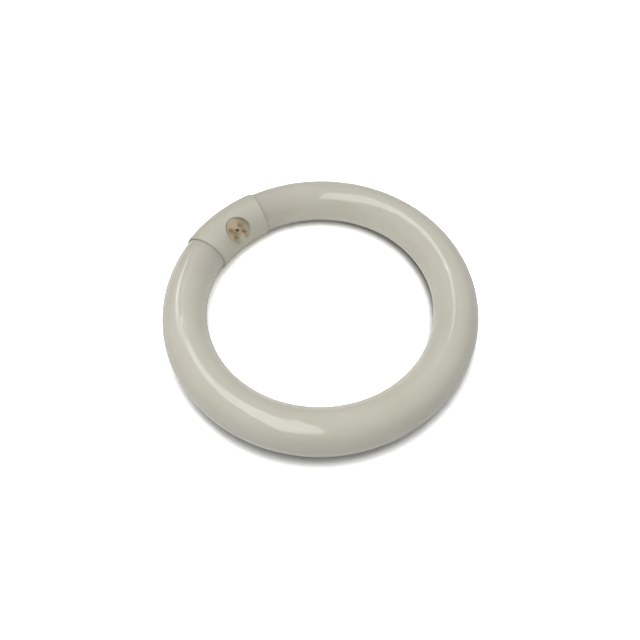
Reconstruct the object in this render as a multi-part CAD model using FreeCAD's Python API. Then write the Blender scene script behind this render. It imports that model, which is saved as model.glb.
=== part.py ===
import FreeCAD, Part
import math
import os

# Circular fluorescent tube: a glass ring whose two ends meet in a plastic cap with four contact pins.
# The ring lies in the XY plane with its centre at the origin, and the cap sits on +Y.
# All sizes are in millimetres and degrees.

# Glass ring
RING_DIAMETER = 209.6
TUBE_DIAMETER = 29.0
SHOULDER_RADIUS = 6.0

# Re-entrant seal at each glass end: a funnel with the sealed-off exhaust tip in it
SEAL_MOUTH_DIAMETER = 14.0
SEAL_NECK_DIAMETER = 9.0
SEAL_DEPTH = 9.0
EXHAUST_TIP_DIAMETER = 3.2
EXHAUST_TIP_LENGTH = 5.0

# Cap: two half shells that close round both glass ends
CAP_WALL = 1.0
CAP_CLEARANCE = 0.2
CAP_OVERLAP = 13.5
CAP_MOUTH_ROUND = 0.8
WEB_THICKNESS = 1.2
WEB_BORE_DIAMETER = 13.0
END_ROOM = 2.05

# Snap tabs of the pin half: they reach past the parting line and click into grooves of the back half
TAB_WIDTH = 10.0
TAB_THICKNESS = 1.0
TAB_REACH = 4.2
TAB_ROOT = 3.6
BEAD_HEIGHT = 0.6
BEAD_LENGTH = 1.0
BEAD_FROM_TIP = 0.6
SNAP_CLEARANCE = 0.25

# Contact well: a round recess that faces inwards and up
PIN_TILT = 40.0
WELL_DIAMETER = 18.5
WELL_DEPTH = 4.0
WELL_FLOOR = 1.8
WELL_RIM_ROUND = 0.6
KEY_HOLE_DIAMETER = 3.0
KEY_HOLE_DEPTH = 2.4
KEY_BOSS_WALL = 0.8
KEY_RIM_HEIGHT = 1.5
KEY_RIM_ROUND = 0.3

# Contact pins: hollow, seated on the well's floor, with a neck through it, a collar spread under it
# and a tip closed on the wire
PIN_DIAMETER = 2.36
PIN_HEIGHT = 7.0
PIN_BORE = 1.2
PIN_TIP_ROUND = 0.5
PIN_TIP_GRIP = 1.2
PIN_SPACING_ALONG = 7.92
PIN_SPACING_ACROSS = 6.35
NECK_DIAMETER = 2.0
NECK_CLEARANCE = 0.05
COLLAR_DIAMETER = 3.6
COLLAR_THICKNESS = 0.8
TAIL_LENGTH = 1.6
TAIL_DIAMETER = 2.0

# Lead wires from the seals to the pins
WIRE_DIAMETER = 0.6
WIRE_BEND_RADIUS = 3.0
WIRE_SPREAD = 6.0
WIRE_ROOT = 1.0
WIRE_DROP = 6.0

# Values that follow from the sizes above
ring_radius = (RING_DIAMETER - TUBE_DIAMETER) / 2
glass_radius = TUBE_DIAMETER / 2
cap_inner = glass_radius + CAP_CLEARANCE
cap_outer = cap_inner + CAP_WALL
well_radius = WELL_DIAMETER / 2
well_block_radius = well_radius + CAP_WALL
half_gap = well_block_radius + END_ROOM
half_cap = half_gap + CAP_OVERLAP
ring_length = 2 * math.pi * ring_radius
floor_top = cap_outer - WELL_DEPTH
floor_bottom = floor_top - WELL_FLOOR
pin_tip = floor_top + PIN_HEIGHT
tail_end = floor_bottom - COLLAR_THICKNESS - TAIL_LENGTH
wire_bend_height = tail_end - WIRE_DROP

ORIGIN = FreeCAD.Vector(0, 0, 0)
X_AXIS = FreeCAD.Vector(1, 0, 0)
Z_AXIS = FreeCAD.Vector(0, 0, 1)

# The cap's own frame: X along the tube, Y across the cap, Z along the pins, origin on the centre line
cap_frame = FreeCAD.Placement(
    FreeCAD.Vector(0, ring_radius, 0),
    FreeCAD.Rotation(X_AXIS, 90 - PIN_TILT),
)
across = cap_frame.Rotation.multVec(FreeCAD.Vector(0, 1, 0))
pin_axis = cap_frame.Rotation.multVec(Z_AXIS)


def turn_angle(arc_length):
    """Angle about the ring's axis for a length along the centre line."""
    return math.degrees(arc_length / ring_radius)


def placed(shape, frame):
    """A shape moved from its own frame into the ring's."""
    moved = shape.copy()
    moved.Placement = frame.multiply(moved.Placement)
    return moved


def section_point(radius, angle):
    """Point of the tube's section at the cap's middle, with the angle counted from across to the pins."""
    turn = math.radians(angle)
    return cap_frame.multVec(FreeCAD.Vector(0, radius * math.cos(turn), radius * math.sin(turn)))


def disc(radius):
    """Round section on the centre line, at the cap's middle."""
    circle = Part.makeCircle(radius, cap_frame.Base, X_AXIS)
    return Part.Face(Part.Wire([circle]))


def half_disc(radius):
    """Half of a round section, on the pins' side."""
    arc = Part.Arc(section_point(radius, 0), section_point(radius, 90), section_point(radius, 180))
    chord = Part.makeLine(section_point(radius, 180), section_point(radius, 0))
    return Part.Face(Part.Wire([arc.toShape(), chord]))


def sector(inner, outer, start, end):
    """Piece of an annular section between two angles."""
    middle = (start + end) / 2
    outside = Part.Arc(section_point(outer, start), section_point(outer, middle), section_point(outer, end))
    inside = Part.Arc(section_point(inner, end), section_point(inner, middle), section_point(inner, start))
    to_inside = Part.makeLine(section_point(outer, end), section_point(inner, end))
    to_outside = Part.makeLine(section_point(inner, start), section_point(outer, start))
    return Part.Face(Part.Wire([outside.toShape(), to_inside, inside.toShape(), to_outside]))


def sweep(section, start, end):
    """Sweep a section along the ring between two lengths from the cap's middle, positive towards +X."""
    turned = section.copy()
    turned.rotate(ORIGIN, Z_AXIS, -turn_angle(end))
    return turned.revolve(ORIGIN, Z_AXIS, turn_angle(end - start))


def end_edges(solid, radius):
    """The circular edges of a swept round section's two ends."""
    found = []
    for edge in solid.Edges:
        curve = edge.Curve
        if isinstance(curve, Part.Circle) and abs(curve.Radius - radius) < 1e-6 and abs(curve.Axis.z) < 0.5:
            found.append(edge)
    return found


def seal_frame(side):
    """Frame of one glass end: Z runs into the tube and X lies across the cap."""
    turn = math.radians(turn_angle(half_gap))
    centre = FreeCAD.Vector(side * ring_radius * math.sin(turn), ring_radius * math.cos(turn), 0)
    inward = FreeCAD.Vector(side * math.cos(turn), -math.sin(turn), 0)
    return FreeCAD.Placement(centre, FreeCAD.Rotation(across, inward.cross(across), inward, "ZXY"))


def seal_funnel():
    """Re-entrant hollow of a seal, in its own frame."""
    return Part.makeCone(SEAL_MOUTH_DIAMETER / 2, SEAL_NECK_DIAMETER / 2, SEAL_DEPTH)


def exhaust_tip():
    """Round-ended glass tip that stands in the funnel, in the seal's own frame."""
    radius = EXHAUST_TIP_DIAMETER / 2
    crown = FreeCAD.Vector(0, 0, SEAL_DEPTH - EXHAUST_TIP_LENGTH + radius)
    stem = Part.makeCylinder(radius, EXHAUST_TIP_LENGTH, crown)
    return stem.fuse(Part.makeSphere(radius, crown))


def make_glass(wires):
    """Sealed glass ring, one solid, with rounded ends and a re-entrant seal round the wires in each."""
    glass = sweep(disc(glass_radius), half_gap, ring_length - half_gap)
    glass = glass.makeFillet(SHOULDER_RADIUS, end_edges(glass, glass_radius))
    for side in (-1, 1):
        frame = seal_frame(side)
        glass = glass.cut(placed(seal_funnel(), frame))
        glass = glass.fuse(placed(exhaust_tip(), frame))
    return glass.cut(wires).removeSplitter()


def tab_angles(side):
    """Angles along the section of one snap tab: its root, the parting line, its bead and its tip."""
    tab_outer = cap_inner - SNAP_CLEARANCE
    degrees_per_mm = math.degrees(1 / tab_outer)
    parting = 0 if side > 0 else 180
    root = parting + side * TAB_ROOT * degrees_per_mm
    tip = parting - side * TAB_REACH * degrees_per_mm
    bead_low = tip + side * BEAD_FROM_TIP * degrees_per_mm
    bead_high = bead_low + side * BEAD_LENGTH * degrees_per_mm
    return root, parting, bead_high, bead_low, tip


def snap_tab(side):
    """Tongue on one long side of the pin half, with the bead that clicks into the back half."""
    root, parting, bead_high, bead_low, tip = tab_angles(side)
    tab_outer = cap_inner - SNAP_CLEARANCE
    tab_inner = tab_outer - TAB_THICKNESS
    tab_middle = tab_outer - TAB_THICKNESS / 2
    tongue = sweep(sector(tab_inner, tab_outer, tip, root), -TAB_WIDTH / 2, TAB_WIDTH / 2)
    foot = sweep(sector(tab_middle, cap_inner + CAP_WALL / 2, parting, root), -TAB_WIDTH / 2, TAB_WIDTH / 2)
    bead_top = tab_outer + BEAD_HEIGHT
    bead = sweep(sector(tab_middle, bead_top, bead_low, bead_high), -TAB_WIDTH / 2, TAB_WIDTH / 2)
    return tongue.fuse([foot, bead])


def snap_groove(side):
    """Groove in the back half's wall for the bead of one snap tab."""
    root, parting, bead_high, bead_low, tip = tab_angles(side)
    room = math.degrees(SNAP_CLEARANCE / cap_inner)
    low = bead_low - side * room
    high = bead_high + side * room
    bottom = cap_inner + BEAD_HEIGHT
    half_width = TAB_WIDTH / 2 + SNAP_CLEARANCE
    return sweep(sector(cap_inner - CAP_CLEARANCE, bottom, low, high), -half_width, half_width)


def local_cylinder(diameter, low, high, along=0.0, crosswise=0.0):
    """Cylinder along the pins' direction between two heights in the cap's frame."""
    cylinder = Part.makeCylinder(diameter / 2, high - low, FreeCAD.Vector(along, crosswise, low))
    return placed(cylinder, cap_frame)


def key_boss():
    """Post round the key hole: closed below the well's floor, and a round-edged rim above it."""
    low = floor_top - KEY_HOLE_DEPTH - KEY_BOSS_WALL
    height = floor_top + KEY_RIM_HEIGHT - low
    post = Part.makeCylinder(KEY_HOLE_DIAMETER / 2 + KEY_BOSS_WALL, height, FreeCAD.Vector(0, 0, low))
    top_edge = max(post.Edges, key=lambda edge: edge.CenterOfMass.z)
    return placed(post.makeFillet(KEY_RIM_ROUND, [top_edge]), cap_frame)


def rim_edges(solid):
    """The edges where the well's wall comes out of the cap's round outside."""
    to_cap = cap_frame.inverse()
    found = []
    for edge in solid.Edges:
        points = [to_cap.multVec(edge.valueAt(end)) for end in edge.ParameterRange]
        on_wall = all(abs(math.hypot(point.x, point.y) - well_radius) < 1e-4 for point in points)
        if on_wall and min(point.z for point in points) > floor_top + WELL_RIM_ROUND:
            found.append(edge)
    return found


def pin_positions():
    """Places of the four pins in the cap's frame, along the tube and across it."""
    places = []
    for along in (-PIN_SPACING_ALONG / 2, PIN_SPACING_ALONG / 2):
        for crosswise in (-PIN_SPACING_ACROSS / 2, PIN_SPACING_ACROSS / 2):
            places.append((along, crosswise))
    return places


def make_cap():
    """Both half shells of the cap, split along the ring so that each lifts off square to the pins."""
    envelope = sweep(disc(cap_outer), -half_cap, half_cap)
    envelope = envelope.makeFillet(CAP_MOUTH_ROUND, end_edges(envelope, cap_outer))
    shell = envelope.cut(sweep(disc(cap_inner), -half_cap, half_cap))
    web_far = half_gap - CAP_CLEARANCE
    web_near = web_far - WEB_THICKNESS
    for start, end in ((-web_far, -web_near), (web_near, web_far)):
        web = sweep(disc(cap_inner + CAP_WALL / 2), start, end)
        opening = sweep(disc(WEB_BORE_DIAMETER / 2), start, end)
        shell = shell.fuse(web.cut(opening))
    pin_side = sweep(half_disc(2 * cap_outer), -half_cap - CAP_WALL, half_cap + CAP_WALL)

    back_half = shell.cut(pin_side)
    for side in (-1, 1):
        back_half = back_half.cut(snap_groove(side))

    top = 2 * cap_outer
    well_block = local_cylinder(2 * well_block_radius, floor_bottom, top).common(envelope)
    pin_half = shell.common(pin_side).fuse(well_block).cut(local_cylinder(WELL_DIAMETER, floor_top, top))
    pin_half = pin_half.removeSplitter()
    pin_half = pin_half.makeFillet(WELL_RIM_ROUND, rim_edges(pin_half))
    pin_half = pin_half.fuse([key_boss(), snap_tab(-1), snap_tab(1)])
    pin_half = pin_half.cut(local_cylinder(KEY_HOLE_DIAMETER, floor_top - KEY_HOLE_DEPTH, top))
    hole = NECK_DIAMETER + 2 * NECK_CLEARANCE
    for along, crosswise in pin_positions():
        pin_half = pin_half.cut(local_cylinder(hole, floor_bottom - CAP_WALL, top, along, crosswise))
    return pin_half.removeSplitter(), back_half.removeSplitter()


def make_pin(along, crosswise):
    """Hollow contact pin: tail, collar under the floor, neck through it and contact with a closed tip."""
    bore = PIN_BORE / 2
    wire = WIRE_DIAMETER / 2
    contact = PIN_DIAMETER / 2
    neck = NECK_DIAMETER / 2
    collar = COLLAR_DIAMETER / 2
    tail = TAIL_DIAMETER / 2
    collar_low = floor_bottom - COLLAR_THICKNESS
    bend = PIN_TIP_ROUND * (1 - math.sqrt(0.5))
    outline = [
        (bore, tail_end),
        (tail, tail_end),
        (tail, collar_low),
        (collar, collar_low),
        (collar, floor_bottom),
        (neck, floor_bottom),
        (neck, floor_top),
        (contact, floor_top),
        (contact, pin_tip - PIN_TIP_ROUND),
    ]
    points = [FreeCAD.Vector(radius, 0, height) for radius, height in outline]
    round_middle = FreeCAD.Vector(contact - bend, 0, pin_tip - bend)
    round_end = FreeCAD.Vector(contact - PIN_TIP_ROUND, 0, pin_tip)
    grip = [
        round_end,
        FreeCAD.Vector(wire, 0, pin_tip),
        FreeCAD.Vector(wire, 0, pin_tip - PIN_TIP_GRIP),
        FreeCAD.Vector(bore, 0, pin_tip - PIN_TIP_GRIP),
        points[0],
    ]
    edges = [Part.makeLine(first, second) for first, second in zip(points, points[1:])]
    edges.append(Part.Arc(points[-1], round_middle, round_end).toShape())
    edges.extend(Part.makeLine(first, second) for first, second in zip(grip, grip[1:]))
    pin = Part.Face(Part.Wire(edges)).revolve(ORIGIN, Z_AXIS, 360)
    pin.translate(FreeCAD.Vector(along, crosswise, 0))
    return placed(pin, cap_frame)


def make_wire(along, crosswise):
    """Lead wire from its root in a seal to the tip of a pin, with one bend under the pin."""
    row = math.copysign(WIRE_SPREAD / 2, crosswise)
    start = seal_frame(math.copysign(1, along)).multVec(FreeCAD.Vector(row, 0, SEAL_DEPTH + WIRE_ROOT))
    corner = cap_frame.multVec(FreeCAD.Vector(along, crosswise, wire_bend_height))
    finish = cap_frame.multVec(FreeCAD.Vector(along, crosswise, pin_tip))
    towards = (start - corner).normalize()
    half_turn = (math.pi - towards.getAngle(pin_axis)) / 2
    setback = WIRE_BEND_RADIUS * math.tan(half_turn)
    arc_start = corner + towards * setback
    arc_end = corner + pin_axis * setback
    bisector = (towards + pin_axis).normalize()
    arc_middle = corner + bisector * (WIRE_BEND_RADIUS / math.cos(half_turn) - WIRE_BEND_RADIUS)
    path = Part.Wire(
        [
            Part.makeLine(start, arc_start),
            Part.Arc(arc_start, arc_middle, arc_end).toShape(),
            Part.makeLine(arc_end, finish),
        ]
    )
    profile = Part.Wire([Part.makeCircle(WIRE_DIAMETER / 2, start, towards * -1)])
    return path.makePipeShell([profile], True, True)


pin_half, back_half = make_cap()
wires = [make_wire(*place) for place in pin_positions()]
nodes = {
    "glass_tube": make_glass(wires),
    "cap_pin_half": pin_half,
    "cap_back_half": back_half,
}
for number, (place, wire) in enumerate(zip(pin_positions(), wires), 1):
    nodes["contact_pin_%d" % number] = make_pin(*place)
    nodes["lead_wire_%d" % number] = wire

os.makedirs("parts", exist_ok=True)
for name, shape in nodes.items():
    shape.exportStep("parts/%s.step" % name)
    print(name, "solids", len(shape.Solids), "valid", shape.isValid(), "volume", round(shape.Volume, 2))
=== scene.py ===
import math

import bpy
from mathutils import Matrix, Vector


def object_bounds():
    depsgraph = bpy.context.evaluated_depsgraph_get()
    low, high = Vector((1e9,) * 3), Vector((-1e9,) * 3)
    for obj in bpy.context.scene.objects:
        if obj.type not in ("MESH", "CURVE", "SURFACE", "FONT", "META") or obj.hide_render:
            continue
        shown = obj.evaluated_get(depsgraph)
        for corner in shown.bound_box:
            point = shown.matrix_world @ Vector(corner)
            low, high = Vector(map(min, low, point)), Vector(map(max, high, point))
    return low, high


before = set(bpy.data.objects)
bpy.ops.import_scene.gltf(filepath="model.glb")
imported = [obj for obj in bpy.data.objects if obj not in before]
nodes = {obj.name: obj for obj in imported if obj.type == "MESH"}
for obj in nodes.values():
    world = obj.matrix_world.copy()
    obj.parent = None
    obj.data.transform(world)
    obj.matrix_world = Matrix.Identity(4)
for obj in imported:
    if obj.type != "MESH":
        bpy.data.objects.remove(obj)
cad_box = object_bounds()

# Camera of the photograph, in metres and degrees. It looks at the ring's centre, which the picture
# shows a little above its middle.
VIEW_TURN = -45.8
VIEW_ELEVATION = 57.83
VIEW_DISTANCE = 0.3896
VIEW_ROLL = 1.21
FRAME_PIXELS = 640
FOCAL_PIXELS = 580.4
RING_CENTRE_PIXELS = (320.05, 301.88)
SENSOR_MM = 36.0
NEAREST_SEEN = 0.01

# Lamps, laid out as seen from the camera: x to the right, y away from it, z up, in metres and degrees.
# A lamp faces down unless it is aimed at a target, and a grid in front of it narrows its spread.
LONG_STRIP = {"place": (-0.86, -0.06, 4.0), "size": (1.40, 4.84), "turn": 2.5, "radiance": 3.5}
LEFT_STRIP = {"place": (-0.437, 0.345, 0.45), "target": (-0.14, -0.01, 0.0), "size": (0.40, 0.17),
              "turn": 67.5, "spread": 28.0, "radiance": 5.6}
RIGHT_STRIP = {"place": (-0.03, 0.400, 0.6), "target": (0.12, 0.0, 0.0), "size": (0.28, 0.075),
               "spread": 28.0, "radiance": 3.7}
SIDE_STRIP = {"place": (-1.9, 0.0, 0.58), "target": (0.0, 0.0, 0.0), "size": (1.60, 0.12), "radiance": 2.5}
TOP_LAMP = {"place": (0.0, 0.0, 0.5), "size": (0.36, 0.36), "radiance": 2.1, "mirrored": False}
LEFT_FILL = {"place": (-0.75, -0.35, 0.3), "target": (0.0, 0.0, 0.0), "size": (0.5, 0.4), "radiance": 0.9,
             "mirrored": False}
FRONT_FILL = {"place": (0.0, -0.85, 0.3), "target": (0.0, 0.0, 0.0), "size": (0.6, 0.4), "radiance": 1.3,
              "mirrored": False}
SKY_LEVEL = 0.25
SKY_SLOPE = (0.08, 0.10, 0.0)

# White sheet under the ring on a grey table, burnt out to white in the picture, in metres. Its contact
# shadow is painted shade in the sheet's seen colour, from an occlusion test that is aimed at a fixed point
# beside the ring.
FLOOR_SIZE = 40.0
SHEET_BOUNCE = 0.95
TABLE_BOUNCE = 0.30
SHEET_EDGE = (0.10, 0.16)
FLOOR_MIRRORED = 0.95
FLOOR_SEEN = 2.5
CONTACT_REACH = 0.014
CONTACT_SHADE = 0.07
CONTACT_RANGE = (0.3, 0.8)
CONTACT_SIDE = (0.1, 0.0, 0.14)
CONTACT_SAMPLES = 8

# The part's own places that the stage and the finishes need, in metres and degrees
RING_RADIUS = 0.0903
GLASS_BOTTOM = -0.0145
PIN_TILT = 40.0
WELL_RADIUS = 0.00925
WELL_MOUTH = 0.0157
GLASS_END = (20.0, 36.0)

# Finishes: scales are features per metre, and heights, depths and fades are in metres
NOISE_LOW, NOISE_HIGH = 0.3, 0.7
GLASS_CLOUD_SCALE = 22.0
GLASS_GLOSS_SCALE = 60.0
GLASS_ROUGHNESS = (0.02, 0.03)
GLASS_SCATTER = 0.7
GLASS_SCATTER_DEPTH = 0.012
GLASS_SWELL_SCALE = 16.0
GLASS_SWELL_HEIGHT = 0.0010
GLASS_WAVE_SCALE = 75.0
GLASS_WAVE_HEIGHT = 0.0003
CAP_CLOUD_SCALE = 40.0
CAP_GLOSS_SCALE = 300.0
CAP_ROUGHNESS = (0.40, 0.50)
CAP_GRAIN_SCALE = 2200.0
CAP_GRAIN_HEIGHT = 0.00002
# Painted reflection of the brass pins: a warm tint inside the cap's well
PIN_REFLECTION_SCALE = 260.0
PIN_REFLECTION_FADE = 0.0008
PIN_REFLECTION_REACH = (0.6 * WELL_RADIUS, WELL_RADIUS)
TARNISH_SCALE = 700.0
TARNISH_ROUGHNESS = (0.55, 0.40)
WIRE_SCALE = 900.0
WIRE_ROUGHNESS = (0.30, 0.42)

# Sockets of a Mix node that carry colour
MIX_FIRST, MIX_SECOND, MIX_RESULT = 6, 7, 2

to_part = Matrix.Rotation(math.radians(VIEW_TURN), 4, "Z")


def srgb(red, green, blue):
    """Linear colour of an 8-bit sRGB triple."""
    def linear(value):
        share = value / 255
        return share / 12.92 if share <= 0.04045 else ((share + 0.055) / 1.055) ** 2.4
    return (linear(red), linear(green), linear(blue), 1.0)


def grey(level):
    """Neutral colour of a linear level."""
    return (level, level, level, 1.0)


class Shader:
    """A node material with one Principled shader, and short ways to add to it."""

    def __init__(self, name):
        self.material = bpy.data.materials.new(name)
        self.material.use_nodes = True
        self.tree = self.material.node_tree
        self.bsdf = self.tree.nodes["Principled BSDF"]
        self.place = self.add("ShaderNodeTexCoord").outputs["Object"]

    def add(self, kind, **values):
        """A new node with some of its settings."""
        node = self.tree.nodes.new(kind)
        for name, value in values.items():
            setattr(node, name, value)
        return node

    def link(self, output, target):
        self.tree.links.new(output, target)

    def noise(self, scale, detail=2.0, roughness=0.5):
        """Noise over the object, with features of about one over scale metres."""
        node = self.add("ShaderNodeTexNoise")
        node.inputs["Scale"].default_value = scale
        node.inputs["Detail"].default_value = detail
        node.inputs["Roughness"].default_value = roughness
        self.link(self.place, node.inputs["Vector"])
        return node.outputs["Fac"]

    def ramp(self, factor, low, high, start=NOISE_LOW, end=NOISE_HIGH):
        """Blend of two colours by a factor."""
        node = self.add("ShaderNodeValToRGB")
        first, last = node.color_ramp.elements
        first.position, last.position = start, end
        first.color, last.color = low, high
        self.link(factor, node.inputs["Fac"])
        return node.outputs["Color"]

    def between(self, factor, low, high, start=NOISE_LOW, end=NOISE_HIGH):
        """A number that runs between two values with a factor."""
        node = self.add("ShaderNodeMapRange")
        node.inputs["From Min"].default_value = start
        node.inputs["From Max"].default_value = end
        node.inputs["To Min"].default_value = low
        node.inputs["To Max"].default_value = high
        self.link(factor, node.inputs["Value"])
        return node.outputs["Result"]

    def vector(self, operation, first, second):
        """Sum, cross product or the like of a vector and a fixed one."""
        node = self.add("ShaderNodeVectorMath", operation=operation)
        self.link(first, node.inputs[0])
        node.inputs[1].default_value = second
        return node

    def times(self, first, second):
        """Product of two numbers."""
        node = self.add("ShaderNodeMath", operation="MULTIPLY")
        self.link(first, node.inputs[0])
        self.link(second, node.inputs[1])
        return node.outputs["Value"]

    def mix(self, factor, first, second):
        """First colour where the factor is 0, second where it is 1."""
        node = self.add("ShaderNodeMix", data_type="RGBA")
        self.link(factor, node.inputs["Factor"])
        self.link(first, node.inputs[MIX_FIRST])
        self.link(second, node.inputs[MIX_SECOND])
        return node.outputs[MIX_RESULT]

    def bump(self, height, distance, below=None):
        """Bump of a real height in metres, on top of another if one is given."""
        node = self.add("ShaderNodeBump")
        node.inputs["Distance"].default_value = distance
        self.link(height, node.inputs["Height"])
        if below is not None:
            self.link(below, node.inputs["Normal"])
        return node.outputs["Normal"]

    def set(self, **values):
        """Values that are the same all over the surface, on the shader's own sockets."""
        for name, value in values.items():
            self.bsdf.inputs[name.replace("_", " ")].default_value = value


def coated_glass():
    """Clear, wavy glass over a translucent phosphor coat: cream-grey, and darker near the cathodes."""
    shader = Shader("coated_glass")
    cloud = shader.noise(GLASS_CLOUD_SCALE, detail=3.0)
    plain = shader.ramp(cloud, srgb(197, 195, 181), srgb(202, 200, 187))
    worn = shader.ramp(cloud, srgb(190, 186, 175), srgb(194, 190, 180))
    level = shader.vector("MULTIPLY", shader.place, (1.0, 1.0, 0.0)).outputs["Vector"]
    flat = shader.add("ShaderNodeVectorMath", operation="NORMALIZE")
    shader.link(level, flat.inputs[0])
    to_cap = shader.vector("DOT_PRODUCT", flat.outputs["Vector"], (0.0, 1.0, 0.0)).outputs["Value"]
    dark, clear = (math.cos(math.radians(angle)) for angle in GLASS_END)
    end = shader.between(to_cap, 0.0, 1.0, start=clear, end=dark)
    shader.link(shader.mix(end, plain, worn), shader.bsdf.inputs["Base Color"])
    gloss = shader.between(shader.noise(GLASS_GLOSS_SCALE), *GLASS_ROUGHNESS)
    shader.link(gloss, shader.bsdf.inputs["Roughness"])
    shader.set(
        Subsurface_Weight=GLASS_SCATTER,
        Subsurface_Radius=(1.0, 1.0, 1.0),
        Subsurface_Scale=GLASS_SCATTER_DEPTH,
    )
    swell = shader.bump(shader.noise(GLASS_SWELL_SCALE, detail=0.0), GLASS_SWELL_HEIGHT)
    waves = shader.bump(shader.noise(GLASS_WAVE_SCALE, detail=1.0), GLASS_WAVE_HEIGHT, swell)
    shader.link(waves, shader.bsdf.inputs["Normal"])
    return shader.material


def cap_plastic():
    """Satin off-white moulding, a shade creamier than the glass, with a warm painted reflection of the
    brass pins inside the well round the contacts.
    """
    shader = Shader("cap_plastic")
    cloud = shader.noise(CAP_CLOUD_SCALE, detail=4.0)
    plain = shader.ramp(cloud, srgb(188, 186, 170), srgb(194, 192, 177))
    tilt = math.radians(PIN_TILT)
    axis = (0.0, -math.cos(tilt), math.sin(tilt))
    from_centre = shader.vector("SUBTRACT", shader.place, (0.0, RING_RADIUS, 0.0)).outputs["Vector"]
    height = shader.vector("DOT_PRODUCT", from_centre, axis).outputs["Value"]
    across = shader.vector("CROSS_PRODUCT", from_centre, axis).outputs["Vector"]
    off_axis = shader.add("ShaderNodeVectorMath", operation="LENGTH")
    shader.link(across, off_axis.inputs[0])
    # Painted reflection: a warm brass tint near the pin axis, inside the well below its mouth
    near = shader.between(off_axis.outputs["Value"], 1.0, 0.0, *PIN_REFLECTION_REACH)
    below_mouth = shader.between(height, 1.0, 0.0, start=WELL_MOUTH - PIN_REFLECTION_FADE, end=WELL_MOUTH)
    pin_side = shader.between(height, 0.0, 1.0, start=0.0, end=PIN_REFLECTION_FADE)
    inside = shader.times(below_mouth, pin_side)
    painted_pin_reflection = shader.ramp(shader.noise(PIN_REFLECTION_SCALE, detail=3.0), srgb(194, 177, 153), srgb(206, 191, 169))
    shader.link(shader.mix(shader.times(near, inside), plain, painted_pin_reflection), shader.bsdf.inputs["Base Color"])
    gloss = shader.between(shader.noise(CAP_GLOSS_SCALE), *CAP_ROUGHNESS)
    shader.link(gloss, shader.bsdf.inputs["Roughness"])
    grain = shader.bump(shader.noise(CAP_GRAIN_SCALE), CAP_GRAIN_HEIGHT)
    shader.link(grain, shader.bsdf.inputs["Normal"])
    return shader.material


def pin_brass():
    """Dull brass with darker tarnish."""
    shader = Shader("pin_brass")
    tarnish = shader.noise(TARNISH_SCALE, detail=4.0)
    colour = shader.ramp(tarnish, srgb(206, 191, 146), srgb(234, 223, 186))
    shader.link(colour, shader.bsdf.inputs["Base Color"])
    shader.link(shader.between(tarnish, *TARNISH_ROUGHNESS), shader.bsdf.inputs["Roughness"])
    shader.set(Metallic=1.0)
    return shader.material


def nickel_wire():
    """Plain drawn nickel wire."""
    shader = Shader("lead_wire")
    streak = shader.noise(WIRE_SCALE, detail=3.0)
    colour = shader.ramp(streak, srgb(150, 146, 140), srgb(184, 180, 173))
    shader.link(colour, shader.bsdf.inputs["Base Color"])
    shader.link(shader.between(streak, *WIRE_ROUGHNESS), shader.bsdf.inputs["Roughness"])
    shader.set(Metallic=1.0)
    return shader.material


def white_floor():
    """White sheet on a grey table: white to the eye and in mirror images, with a painted contact shadow
    close to the part.
    """
    shader = Shader("white_floor")
    rays = shader.add("ShaderNodeLightPath").outputs
    reach = shader.add("ShaderNodeVectorMath", operation="LENGTH")
    shader.link(shader.place, reach.inputs[0])
    bounce = shader.between(reach.outputs["Value"], SHEET_BOUNCE, TABLE_BOUNCE, *SHEET_EDGE)
    # Painted contact shadow: an occlusion test aimed at a fixed point darkens the sheet's seen colour near
    # the part.
    contact = shader.add("ShaderNodeAmbientOcclusion", samples=CONTACT_SAMPLES)
    contact.inputs["Distance"].default_value = CONTACT_REACH
    aim = to_part.to_3x3() @ Vector(CONTACT_SIDE)
    away = shader.vector("SUBTRACT", shader.place, aim).outputs["Vector"]
    back = shader.vector("MULTIPLY", away, (-1.0, -1.0, -1.0)).outputs["Vector"]
    towards = shader.add("ShaderNodeVectorMath", operation="NORMALIZE")
    shader.link(back, towards.inputs[0])
    shader.link(towards.outputs["Vector"], contact.inputs["Normal"])
    shade = shader.between(contact.outputs["AO"], CONTACT_SHADE * FLOOR_SEEN, FLOOR_SEEN, *CONTACT_RANGE)
    mirrored = shader.add("ShaderNodeMath", operation="MAXIMUM")
    shader.link(rays["Is Glossy Ray"], mirrored.inputs[0])
    shader.link(rays["Is Transmission Ray"], mirrored.inputs[1])
    white = shader.add("ShaderNodeRGB").outputs["Color"]
    white.default_value = grey(FLOOR_MIRRORED)
    colour = shader.mix(mirrored.outputs["Value"], bounce, white)
    colour = shader.mix(rays["Is Camera Ray"], colour, shade)
    paper = shader.add("ShaderNodeBsdfDiffuse")
    shader.link(colour, paper.inputs["Color"])
    output = shader.tree.nodes["Material Output"]
    shader.link(paper.outputs["BSDF"], output.inputs["Surface"])
    return shader.material


def dress(node_name, material):
    """Give a CAD node its finish."""
    slots = nodes[node_name].data.materials
    slots.clear()
    slots.append(material)


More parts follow.
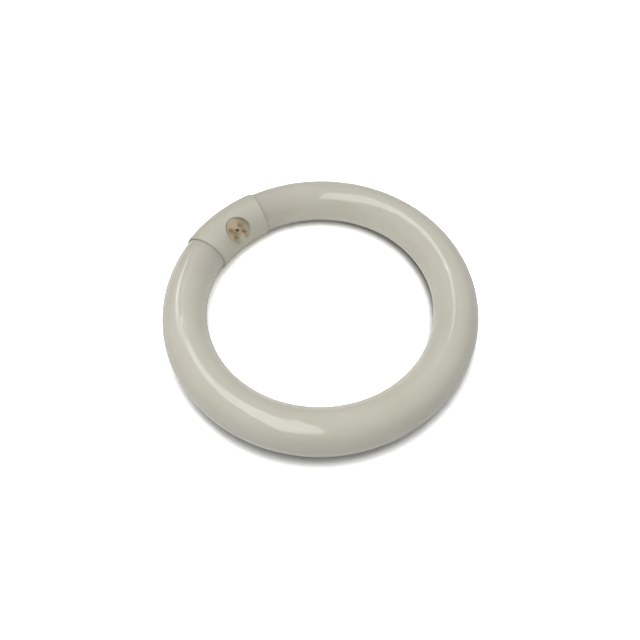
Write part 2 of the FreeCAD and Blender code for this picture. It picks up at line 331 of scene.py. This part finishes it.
def add_camera():
    """The photograph's camera, with its roll and the picture's offset as a lens shift."""
    elevation = math.radians(VIEW_ELEVATION)
    roll = math.radians(VIEW_ROLL)
    place = Vector((0, -math.cos(elevation), math.sin(elevation))) * VIEW_DISTANCE
    back = place.normalized()
    right = Vector((1, 0, 0))
    up = back.cross(right)
    rolled_right = right * math.cos(roll) - up * math.sin(roll)
    rolled_up = right * math.sin(roll) + up * math.cos(roll)
    turn = Matrix((rolled_right, rolled_up, back)).transposed().to_4x4()
    data = bpy.data.cameras.new("camera")
    data.sensor_width = SENSOR_MM
    data.lens = SENSOR_MM * FOCAL_PIXELS / FRAME_PIXELS
    data.shift_x = (FRAME_PIXELS / 2 - RING_CENTRE_PIXELS[0]) / FRAME_PIXELS
    data.shift_y = (RING_CENTRE_PIXELS[1] - FRAME_PIXELS / 2) / FRAME_PIXELS
    data.clip_start = NEAREST_SEEN
    camera = bpy.data.objects.new("camera", data)
    camera.matrix_world = to_part @ Matrix.Translation(place) @ turn
    bpy.context.scene.collection.objects.link(camera)
    bpy.context.scene.camera = camera


def facing(place, target, turn):
    """Placement at one point, turned to face another."""
    back = (place - target).normalized()
    right = Vector((0, 0, 1)).cross(back)
    right = right.normalized() if right.length > 0 else Vector((1, 0, 0))
    axes = Matrix((right, back.cross(right), back)).transposed().to_4x4()
    return Matrix.Translation(place) @ axes @ Matrix.Rotation(math.radians(turn), 4, "Z")


def add_lamp(name, place, size, radiance, target=None, turn=0.0, spread=None, mirrored=True):
    """Soft oblong lamp of a given brightness along its axis."""
    data = bpy.data.lights.new(name, "AREA")
    data.shape = "RECTANGLE"
    data.size, data.size_y = size
    data.energy = radiance * math.pi * data.size * data.size_y
    if spread is not None:
        data.spread = math.radians(spread)
        data.energy *= 1 - data.spread / 2 / math.tan(data.spread / 2)
    lamp = bpy.data.objects.new(name, data)
    below = (place[0], place[1], 0.0)
    lamp.matrix_world = to_part @ facing(Vector(place), Vector(target or below), turn)
    lamp.visible_glossy = mirrored
    bpy.context.scene.collection.objects.link(lamp)


def add_sky():
    """Soft light from all round that grows towards one side."""
    world = bpy.data.worlds.new("sky")
    world.use_nodes = True
    tree = world.node_tree
    place = tree.nodes.new("ShaderNodeTexCoord")
    side = tree.nodes.new("ShaderNodeVectorMath")
    side.operation = "DOT_PRODUCT"
    side.inputs[1].default_value = to_part.to_3x3() @ Vector(SKY_SLOPE)
    tree.links.new(place.outputs["Generated"], side.inputs[0])
    level = tree.nodes.new("ShaderNodeMath")
    level.operation = "ADD"
    level.inputs[1].default_value = SKY_LEVEL
    tree.links.new(side.outputs["Value"], level.inputs[0])
    background = tree.nodes["Background"]
    background.inputs["Color"].default_value = grey(1.0)
    tree.links.new(level.outputs["Value"], background.inputs["Strength"])
    bpy.context.scene.world = world


def add_floor():
    """Floor under the two places that the part rests on: the cap, and the glass across from it."""
    half = FLOOR_SIZE / 2
    cap_bottom = cad_box[0][2]
    middle = (cap_bottom + GLASS_BOTTOM) / 2
    slope = (cap_bottom - GLASS_BOTTOM) / (2 * RING_RADIUS)
    sides = ((-half, -half), (half, -half), (half, half), (-half, half))
    corners = [(x, y, middle + y * slope) for x, y in sides]
    mesh = bpy.data.meshes.new("floor")
    mesh.from_pydata(corners, [], [(0, 1, 2, 3)])
    mesh.materials.append(white_floor())
    floor = bpy.data.objects.new("floor", mesh)
    bpy.context.scene.collection.objects.link(floor)


glass = coated_glass()
plastic = cap_plastic()
brass = pin_brass()
wire = nickel_wire()
dress("glass_tube", glass)
dress("cap_pin_half", plastic)
dress("cap_back_half", plastic)
for number in (1, 2, 3, 4):
    dress("contact_pin_%d" % number, brass)
    dress("lead_wire_%d" % number, wire)

add_camera()
add_lamp("long_strip", **LONG_STRIP)
add_lamp("left_strip", **LEFT_STRIP)
add_lamp("right_strip", **RIGHT_STRIP)
add_lamp("side_strip", **SIDE_STRIP)
add_lamp("top_lamp", **TOP_LAMP)
add_lamp("left_fill", **LEFT_FILL)
add_lamp("front_fill", **FRONT_FILL)
add_sky()
add_floor()
bpy.context.scene.view_settings.view_transform = "Standard"
